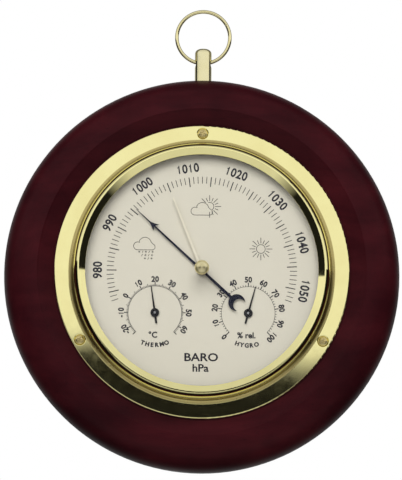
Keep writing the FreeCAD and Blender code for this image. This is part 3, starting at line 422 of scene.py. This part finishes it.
# Pressure scale: 973 to 1053 hPa, a stroke for each, a longer one for every fifth.
HPA_AT_TOP = 1013
DEGREES_PER_HPA = 2.73
SCALE_R = 49.9
NUMBER_R = 54.7
NUMBER_CAP = 4.45
parts = []
for hpa in range(973, 1054):
    fifth = hpa % 5 == 0
    clock = (hpa - HPA_AT_TOP) * DEGREES_PER_HPA
    inner = SCALE_R - (5.2 if fifth else 3.7)
    parts.append(stroke([around(SCALE_R, clock), around(inner, clock)], 0.52 if fifth else 0.36))
for hpa in range(980, 1051, 10):
    clock = (hpa - HPA_AT_TOP) * DEGREES_PER_HPA
    parts += radial(str(hpa), NUMBER_CAP, NUMBER_R, clock, wide=0.88, weight=0.03)
parts.append(turned_to(letters("BARO", 4.0, 0.022), 0.0, 0.0, -45.6, 1.16))
parts.append(turned_to(letters("hPa", 3.8, 0.022), 0.0, -0.3, -51.2, 1.08))
printed("pressure_printing", parts)

# Small scales: thermometer on the left, hygrometer on the right.
SMALL_R = 14.0
SMALL_NUMBER_R = 17.7
SMALL_NUMBER_CAP = 2.75
SMALL_X = 24.4
SMALL_Z = -22.4
WORD_PITCH = 8.65
ARC_STEPS = 90


def curved_word(text, cap, r, middle, x, z):
    """Letters standing on the bottom of a circle, read from left to right."""
    made = []
    for i, letter in enumerate(text):
        clock = middle + WORD_PITCH * ((len(text) - 1) / 2 - i)
        px, pz = around(r, 180.0 + clock, x, z)
        made.append(turned_to(letters(letter, cap, 0.05), clock, px, pz))
    return made


def small_scale(name, side, low, high, at_top, per_unit, fine, labels, unit, word, middle):
    """Ticks, arc, numbers, unit and curved word of one small scale; side is -1 or 1."""
    x, z = side * SMALL_X, SMALL_Z
    made = []
    for value in range(low, high + 1, fine):
        clock = (value - at_top) * per_unit
        tall = 2.1 if value % 10 == 0 or value in (low, high) else 1.6 if value % 5 == 0 else 0.9
        made.append(stroke([around(SMALL_R, clock, x, z), around(SMALL_R + tall, clock, x, z)],
                           0.5 if tall > 2.0 else 0.32))
    arc = [around(SMALL_R, (low + (high - low) * i / ARC_STEPS - at_top) * per_unit, x, z)
           for i in range(ARC_STEPS + 1)]
    made.append(stroke(arc, 0.22))
    for value in labels:
        made += radial(str(value), SMALL_NUMBER_CAP, SMALL_NUMBER_R, (value - at_top) * per_unit,
                       x, z, 0.92, 0.045)
    made.append(turned_to(letters(unit, 2.9, 0.035), 0.0, x - 0.9, z - 11.6, 1.0))
    made += curved_word(word, 2.1, 16.9, middle, x, z)
    printed(name, made)


small_scale("thermometer_printing", -1, -25, 65, 20, 3.0, 1, range(-20, 61, 10), "°C",
            "THERMO", 0.0)
small_scale("hygrometer_printing", 1, 0, 100, 50, 2.7, 2, range(0, 101, 10), "% rel.",
            "HYGRO", 2.4)


# Weather signs: rain cloud, sun behind a cloud, and sun, drawn in thin outline.
def arc_points(x, z, r, start, end, count=14):
    return [around(r, start + (end - start) * i / (count - 1), x, z) for i in range(count)]


def cloud(x, z):
    """Outline of a cloud: a small hump at each side of a large one, and a flat base."""
    line = arc_points(x - 3.7, z - 1.2, 2.1, 180, 395)
    line += arc_points(x + 0.2, z + 0.1, 3.3, 292, 438)
    line += arc_points(x + 3.9, z - 1.7, 1.6, 15, 180)
    return stroke(line, 0.3, closed=True)


def sun(x, z, first, last):
    """Rays, long and short in turn, from one ray to another of sixteen; the disc is drawn apart."""
    made = []
    for i in range(first, last + 1):
        clock = 22.5 * i
        tip = 6.0 if i % 2 == 0 else 4.9
        made.append(stroke([around(2.9, clock, x, z), around(tip, clock, x, z)], 0.34))
    return made


FAIR = (30.9, 11.6)
PARTED = (3.9, 34.0)
signs = [stroke(arc_points(*FAIR, 2.3, 0, 345, 24), 0.32, closed=True)]
signs += sun(*FAIR, 0, 15)
signs.append(cloud(-30.1, 14.0))
for row, marks in enumerate((5, 4, 3)):
    for i in range(marks):
        drop_x = -32.9 + 1.75 * i + 1.5 * row
        drop_z = 10.2 - 1.75 * row
        if (i + row) % 2:
            signs.append(stroke([(drop_x + 0.3, drop_z), (drop_x - 0.35, drop_z - 1.1)], 0.26))
        else:
            for clock in (0, 60, 120):
                signs.append(stroke([around(0.55, clock, drop_x, drop_z - 0.5),
                                     around(-0.55, clock, drop_x, drop_z - 0.5)], 0.2))
signs.append(cloud(-0.1, 32.7))
signs.append(stroke(arc_points(*PARTED, 2.2, -20, 150, 16), 0.32))
signs += sun(*PARTED, -2, 8)
printed("weather_signs", signs)

# Glass and its card ring.
material, tree, sockets = finish("clear_flat_glass", IOR=1.2, Transmission_Weight=1.0)
smears = call(tree, "handling", {"Size": 35.0, "Least": 0.0, "Most": 0.012})["Value"]
tree.links.new(smears, sockets["Roughness"])
relief(tree, sockets, call(tree, "handling", {"Size": 20.0})["Value"], 0.02, 0.00002)
pane = put(tree, "MixShader", {0: put(tree, "LightPath").outputs["Is Shadow Ray"],
                               1: tree.nodes["Principled BSDF"].outputs[0],
                               2: put(tree, "BsdfTransparent").outputs[0]})
tree.links.new(pane.outputs[0], tree.nodes["Material Output"].inputs["Surface"])
coat_node(material, "glass")

# Spacer card coloured near-black: painted shade for the shadowed gap under the bezel's lip.
material, tree, sockets = finish("card_painted_gap_shade", Specular_IOR_Level=0.25)
fibre = noise(tree, stretched(tree, place(tree), (1500.0, 500.0, 1500.0)), 1.0, 4.0, 0.65)
card = tint(tree, fibre, (0.030, 0.027, 0.024), (0.075, 0.068, 0.060))
tree.links.new(card, sockets["Base Color"])
tree.links.new(ramp(tree, fibre, 0.3, 0.7, 0.75, 0.95), sockets["Roughness"])
relief(tree, sockets, fibre, 0.5, 0.00004)
coat_node(material, "spacer_ring")

# ---- setting hand, its knob and bush ----
# Knob, shaft and bush are turned from brass rod. The hand is thin pale brass, and
# is turned by hand to mark the last reading.

knob = brass("turned_knob", (0.95, 0.86, 0.55), TARNISH, 0.34, 0.44, 2600.0, 0.000002)
coat_node(knob, "set_knob", "set_shaft", "glass_bush")
material = brass("pale_hand", (0.84, 0.79, 0.64), (0.80, 0.74, 0.58), 0.40, 0.52, 6000.0, 0.000002)
material.node_tree.nodes["Principled BSDF"].inputs["Metallic"].default_value = 0.15
coat_node(material, "set_hand")

# ---- barometer hand ----
# Stamped from thin steel and blued to a blue-black. It is riveted to its collet, which
# is pressed on the steel arbor that the movement turns.


def dark_steel(name, low, high, least, most):
    """Thin blued or blacked steel, a little rubbed at its edges."""
    material, tree, sockets = finish(name, IOR=1.5, Specular_IOR_Level=0.2)
    patches = call(tree, "handling", {"Size": 420.0, "Least": 0.0, "Most": 1.0})["Value"]
    worn = call(tree, "worn_edges", {"Reach": 0.00012, "Breakup": 1500.0})["Mask"]
    base = tint(tree, patches, low, high)
    base = tint(tree, sums(tree, "MULTIPLY", worn, 0.25), base, (0.09, 0.09, 0.11))
    tree.links.new(base, sockets["Base Color"])
    tree.links.new(call(tree, "handling", {"Size": 900.0, "Least": least, "Most": most})["Value"],
                   sockets["Roughness"])
    relief(tree, sockets, noise(tree, place(tree), 3500.0), 0.2, 0.000006)
    return material


blued = dark_steel("blued_steel_hand", (0.004, 0.005, 0.015), (0.008, 0.010, 0.026), 0.34, 0.46)
coat_node(blued, "barometer_hand", "hand_hub")
coat_node(dark_steel("black_small_hand", (0.006, 0.006, 0.008), (0.012, 0.012, 0.014), 0.30, 0.45),
          "thermometer_hand", "hygrometer_hand")

# ---- movement behind the dial ----
# Plates, pillars, sector, cages and bearings are stamped or turned brass with a
# satin finish; arbors and screws are bright steel; all is riveted or screwed.


def steel(name, low, high, least, most, rings):
    material, tree, sockets = finish(name, Metallic=1.0)
    patches = call(tree, "handling", {"Size": 260.0, "Least": 0.0, "Most": 1.0})["Value"]
    worn = call(tree, "worn_edges", {"Reach": 0.0002, "Breakup": 900.0})["Mask"]
    base = tint(tree, sums(tree, "MULTIPLY", worn, 0.5), tint(tree, patches, low, high),
                (0.78, 0.78, 0.80))
    tree.links.new(base, sockets["Base Color"])
    marks = call(tree, "lathe_marks", {"Rings per metre": rings})["Height"]
    rough = call(tree, "handling", {"Size": 700.0, "Least": least, "Most": most})["Value"]
    rough = sums(tree, "ADD", rough, sums(tree, "MULTIPLY", marks, 0.06))
    tree.links.new(rough, sockets["Roughness"])
    relief(tree, sockets, marks, 0.3, 0.000003)
    return material


satin = brass("satin_brass", (0.72, 0.58, 0.30), (0.56, 0.42, 0.20), 0.30, 0.42, 3500.0, 0.000004)
coat_node(satin, "base_plate", "mid_plate", "front_plate", "long_pillars", "short_pillars",
          "sector_gear", "shaft_bearings", "hairspring_stud", "thermometer_cage",
          "hygrometer_cage", "capsule_stud")
coat_node(steel("bright_steel", (0.50, 0.50, 0.52), (0.60, 0.60, 0.61), 0.22, 0.34, 4200.0),
          "pinion_arbor", "sector_arbor", "rocking_shaft", "thermometer_spindle",
          "hygrometer_spindle", "back_screws", "mid_screws", "front_screws", "carrier_screws",
          "adjusting_screw")
coat_node(steel("tempered_spring", (0.30, 0.33, 0.42), (0.40, 0.42, 0.48), 0.24, 0.34, 2600.0),
          "hairspring", "capsule_carrier")
coat_node(steel("plated_capsule", (0.58, 0.56, 0.50), (0.68, 0.66, 0.60), 0.26, 0.38, 1800.0),
          "capsule_rear", "capsule_front")
coat_node(steel("bimetal_strip", (0.60, 0.46, 0.30), (0.70, 0.56, 0.38), 0.28, 0.40, 3000.0),
          "thermometer_coil")
coat_node(steel("coated_strip", (0.56, 0.50, 0.38), (0.66, 0.60, 0.46), 0.45, 0.60, 3000.0),
          "hygrometer_coil")

# ---- studio: floor, lights and camera ----
# The piece hangs clear above a plain pale floor. A soft key light stands high in front;
# the brass mirrors a large pale screen over a dark band, a pale table and near wall below,
# and a lit wall behind that shows only from the back. The camera sees plain white.

FLOOR_GAP = 0.13
FLOOR_Z = cad_box[0][2] - FLOOR_GAP
FLOOR_HALF = 6


def staged(name, verts, material):
    mesh = bpy.data.meshes.new(name)
    mesh.from_pydata(verts, [], [tuple(range(len(verts)))])
    mesh.materials.append(material)
    piece = bpy.data.objects.new(name, mesh)
    bpy.context.scene.collection.objects.link(piece)
    return piece


material, tree, sockets = finish("pale_floor", Roughness=0.9)
speckle = noise(tree, place(tree), 60.0, 4.0)
tree.links.new(tint(tree, speckle, (0.76, 0.75, 0.72), (0.82, 0.81, 0.79)), sockets["Base Color"])
floor = staged("floor", [(x * FLOOR_HALF, y * FLOOR_HALF, FLOOR_Z)
                         for x, y in ((-1, -1), (1, -1), (1, 1), (-1, 1))], material)
floor.visible_glossy = False


def area_light(name, place_at, aim, width, height, power):
    """Soft lamp that lights surfaces but isn't itself mirrored in the polished brass."""
    lamp = bpy.data.lights.new(name, "AREA")
    lamp.shape = "RECTANGLE"
    lamp.size = width
    lamp.size_y = height
    lamp.energy = power
    lit = bpy.data.objects.new(name, lamp)
    lit.location = place_at
    lit.rotation_euler = (Vector(aim) - Vector(place_at)).to_track_quat("-Z", "Y").to_euler()
    lit.visible_camera = False
    lit.visible_glossy = False
    lit.visible_transmission = False
    bpy.context.scene.collection.objects.link(lit)


DARK_ROOM = 0.012
SCREEN_LIGHT = 0.95
TABLE_LIGHT = 0.72
BACK_LIGHT = 0.55
NEAR_WALL_LIGHT = 0.5
area_light("key", (-0.2, -1.75, 0.95), (0, 0, 0), 1.9, 1.3, 41.0)

world = bpy.data.worlds.new("studio")
world.use_nodes = True
tree = world.node_tree
way = put(tree, "TexCoord").outputs["Generated"]
toward = put(tree, "SeparateXYZ", {0: way}).outputs
ragged = ramp(tree, noise(tree, way, 7.0, 3.0), 0.3, 0.7, -0.012, 0.012)
side = sums(tree, "MULTIPLY", sums(tree, "MULTIPLY", toward["X"], toward["X"]), 0.075)
side = sums(tree, "ADD", side, sums(tree, "MULTIPLY", toward["X"], -0.02))
screen_foot = sums(tree, "ADD", sums(tree, "ADD", side, 0.099), ragged)
above = sums(tree, "SUBTRACT", toward["Z"], screen_foot)
screen = ramp(tree, above, -0.006, 0.006, DARK_ROOM, SCREEN_LIGHT)
screen = sums(tree, "MULTIPLY", screen, ramp(tree, toward["Z"], 0.25, 0.9, 1.0, 0.75))
screen = sums(tree, "MULTIPLY", screen, ramp(tree, toward["Y"], -0.12, 0.1, 1.0, DARK_ROOM))
table = ramp(tree, toward["Z"], -0.64, -0.46, TABLE_LIGHT, 0.0)
table = sums(tree, "MULTIPLY", table, ramp(tree, toward["Y"], -0.35, -0.2, 1.0, 0.0))
near_wall = sums(tree, "MULTIPLY", ramp(tree, toward["Z"], 0.01, 0.045, NEAR_WALL_LIGHT, 0.0),
                 ramp(tree, toward["Y"], -0.8, -0.6, 1.0, 0.0))
table = sums(tree, "MAXIMUM", table, near_wall)
back_wall = ramp(tree, toward["Y"], 0.45, 0.8, 0.0, BACK_LIGHT)
lit_room = sums(tree, "ADD", sums(tree, "ADD", screen, table), back_wall)
tree.links.new(lit_room, tree.nodes["Background"].inputs["Strength"])
tree.nodes["Background"].inputs["Color"].default_value = (1.0, 1.0, 1.0, 1.0)
white = put(tree, "Background", {"Color": (1.0, 1.0, 1.0, 1.0), "Strength": 1.0})
seen = put(tree, "MixShader", {0: put(tree, "LightPath").outputs["Is Camera Ray"],
                               1: tree.nodes["Background"].outputs[0], 2: white.outputs[0]})
tree.links.new(seen.outputs[0], tree.nodes["World Output"].inputs["Surface"])
bpy.context.scene.world = world
bpy.context.scene.view_settings.view_transform = "Standard"

VIEW_ELEVATION = math.radians(8.5)
VIEW_ROLL = math.radians(0.4)
VIEW_DISTANCE = 1.2
RIM_Y = -0.0175
ahead = Vector((0.0, math.cos(VIEW_ELEVATION), math.sin(VIEW_ELEVATION)))
upright = Vector((0.0, -math.sin(VIEW_ELEVATION), math.cos(VIEW_ELEVATION)))
across = Vector((1.0, 0.0, 0.0))
AIM_UP = 0.01831
AIM_LEFT = 0.00054
aim = Vector((0.0, RIM_Y, 0.0)) + upright * AIM_UP - across * AIM_LEFT
up = upright * math.cos(VIEW_ROLL) - across * math.sin(VIEW_ROLL)
right = across * math.cos(VIEW_ROLL) + upright * math.sin(VIEW_ROLL)
camera_data = bpy.data.cameras.new("camera")
camera_data.lens = 169.5
camera_data.sensor_width = 36.0
camera_data.clip_end = 50.0
camera = bpy.data.objects.new("camera", camera_data)
turn = Matrix((right, up, -ahead)).transposed().to_4x4()
camera.matrix_world = Matrix.Translation(aim - ahead * VIEW_DISTANCE) @ turn
bpy.context.scene.collection.objects.link(camera)
bpy.context.scene.camera = camera
